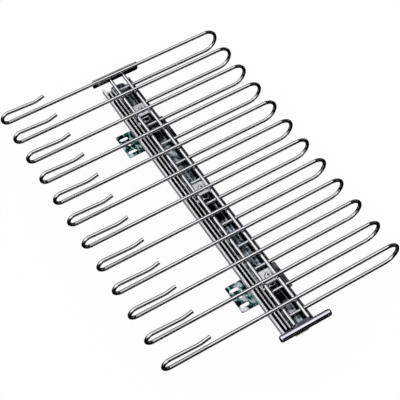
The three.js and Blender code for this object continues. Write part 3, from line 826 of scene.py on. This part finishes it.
def carryOver(name, node, material, edge=carriedSet["edge"]):
    piece = frame["nodes"][node].copy()
    piece.data = piece.data.copy()
    piece.name = name
    piece.data.name = name
    piece.parent = None
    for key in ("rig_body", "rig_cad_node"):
        del piece[key]
    piece.hide_render = False
    bpy.context.scene.collection.objects.link(piece)
    openEdit(piece)
    bpy.ops.mesh.select_all(action="SELECT")
    bpy.ops.mesh.remove_doubles(threshold=mergeDistance)
    bpy.ops.mesh.dissolve_limited(angle_limit=math.radians(carriedSet["flatAngle"]))
    closeEdit()
    roundEdges(piece, edge, degrees=carriedSet["edgeAngle"])
    smooth(piece)
    standFor(piece, node, material)


riserSet = {"screwFace": 0.9 * mm, "footHeight": 2.2 * mm, "footFade": 0.2 * mm,
            "litReach": 3.55 * mm, "litFade": mm}


def makeRiserChrome(name):
    low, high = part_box(f"riser_{name}")
    litEnd = (low.y + high.y) / 2 + riserSet["litReach"]
    footTop = low.z + riserSet["footHeight"]
    # Painted highlight: the front edge of the riser foot is coloured near-white and made non-metallic
    edge = lambda paint: (1 - paint.rise(paint.along("Z"), footTop, footTop + riserSet["footFade"])) * (
        1 - paint.rise(paint.along("Y"), litEnd, litEnd + riserSet["litFade"]))
    return makeChrome(f"riserChrome{name.title()}", chromeStops, layers=[(edge, footHighlightStops)],
                      dullShare=edge)


# Painted shade: the screw below its top face takes the near-black stops
def screwRimShade(paint):
    return below(paint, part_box("riser_screw_rear")[1].z - riserSet["screwFace"])


screwChrome = makeChrome("screwChrome", chromeStops, layers=[(screwRimShade, paintedShadeStops)])
for name in riserNames:
    carryOver(f"bridgePlate{name.title()}", f"bridge_plate_{name}", bridgeChrome)
    carryOver(f"riser{name.title()}", f"riser_{name}", makeRiserChrome(name))
    carryOver(f"riserScrew{name.title()}", f"riser_screw_{name}", screwChrome)
    carryOver(f"riserNut{name.title()}", f"riser_nut_{name}", paintedShadeSteel)
    for side in ("left", "right"):
        carryOver(f"riserRivet{name.title()}{side.title()}", f"riser_rivet_{name}_{side}", paintedShadeSteel,
                  carriedSet["rivetEdge"])
for name in bracketNames:
    carryOver(f"mountBracket{name.title()}", f"mount_bracket_{name}", bracketZinc)
    for side in ("rear", "front"):
        carryOver(f"bracketRivet{name.title()}{side.title()}", f"bracket_rivet_{name}_{side}", plainSteel,
                  carriedSet["rivetEdge"])
carryOver("rearBumper", "rear_bumper", rubber, carriedSet["bumperEdge"])
print("risers and brackets made")


# Studio: white floor and world, and a dark card that only the metal sees

studioSet = {"floorSize": 12.0, "floorDrop": 0.2 * mm, "floorWhite": 0.97, "floorGlow": 0.94,
             "worldStrength": 1.0,
             "lampFront": math.radians(32), "lampBack": math.radians(50), "lampFade": 0.1,
             "lampRight": 0.56, "lampLeft": 0.3, "horizon": 0.3,
             "lampRamp": (0.2, 0.7), "lampRear": (0.50, 0.49, 0.54),
             "wallTurn": (0.35, 0.62), "frontWall": (0.004, 0.004, 0.005), "backWall": (0.06, 0.06, 0.07)}


def addFloor():
    floor = startPiece("floor", bpy.ops.mesh.primitive_plane_add, size=studioSet["floorSize"],
                       location=(0, 0, -studioSet["floorDrop"]))
    paint = Paint("studioFloor")
    white = (studioSet["floorWhite"],) * 3 + (1.0,)
    lit = paint.node("BsdfDiffuse", {}, {"Color": white})
    glow = paint.node("Emission", {}, {"Color": (1, 1, 1, 1), "Strength": 1.0})
    seen = paint.node("LightPath", {}, {}, output="Is Camera Ray")
    glossy = paint.node("LightPath", {}, {}, output="Is Glossy Ray")
    through = paint.node("LightPath", {}, {}, output="Is Transmission Ray")
    share = (seen + glossy + through) * studioSet["floorGlow"]
    paint.finish(paint.node("MixShader", {}, {0: share, 1: lit, 2: glow}))
    floor.data.materials.append(paint.owner)


cardSet = {"shade": 0.004, "size": 4.8, "lift": 0.4 * mm}


def addCard():
    card = startPiece("darkCard", bpy.ops.mesh.primitive_plane_add, size=cardSet["size"],
                      location=(0, 0, cardSet["lift"]))
    paint = Paint("darkCard")
    shade = cardSet["shade"]
    paint.finish(paint.node("Emission", {}, {"Color": (shade, shade, shade, 1), "Strength": 1.0}))
    card.data.materials.append(paint.owner)
    card.visible_camera = False
    card.visible_diffuse = False
    card.visible_shadow = False
    card.visible_transmission = False


def sideOf(paint, direction, normal, start=0.0):
    past = paint.node("VectorMath", {"operation": "DOT_PRODUCT"}, {0: direction, 1: normal}, output="Value")
    return paint.node("MapRange", {"clamp": True}, {
        "Value": past, "From Min": start, "From Max": start + studioSet["lampFade"]})


def addWorld():
    world = bpy.data.worlds.new("studio")
    bpy.context.scene.world = world
    paint = Paint("studio", world)
    direction = paint.node("TexCoord", {}, {}, output="Generated")
    front, back = studioSet["lampFront"], studioSet["lampBack"]
    overhead = sideOf(paint, direction, (0, math.cos(front), math.sin(front)))
    overhead = overhead * sideOf(paint, direction, (0, -math.cos(back), math.sin(back)))
    overhead = overhead * sideOf(paint, direction, (-1, 0, 0), -studioSet["lampRight"])
    fromLeft = sideOf(paint, direction, (-1, 0, 0), studioSet["lampLeft"])
    fromLeft = fromLeft * sideOf(paint, direction, (0, 0, 1), studioSet["horizon"])
    lamp = overhead + fromLeft * (1 - overhead)
    depth = paint.node("SeparateXYZ", {}, {"Vector": direction}, output="Y")
    toBack = depth * 0.5 + 0.5  # 0 in front of the rack, 1 behind it
    start, end = studioSet["wallTurn"]
    walls = paint.ramp(toBack, [(start, studioSet["frontWall"]), (end, studioSet["backWall"])])
    rampStart, rampEnd = studioSet["lampRamp"]
    rearShare = paint.rise(depth, rampStart, rampEnd) * sideOf(paint, direction, (1, 0, 0))
    lampColour = paint.mix(rearShare, (1, 1, 1, 1), (*studioSet["lampRear"], 1))
    mirrored = paint.mix(lamp, walls, lampColour)
    glossy = paint.node("LightPath", {}, {}, output="Is Glossy Ray")
    colour = paint.mix(glossy, (1, 1, 1, 1), mirrored)
    background = paint.node("Background", {}, {"Color": colour, "Strength": studioSet["worldStrength"]})
    paint.finish(background, "World")


addFloor()
addCard()
addWorld()
bpy.context.scene.view_settings.view_transform = "Standard"
print("studio made")
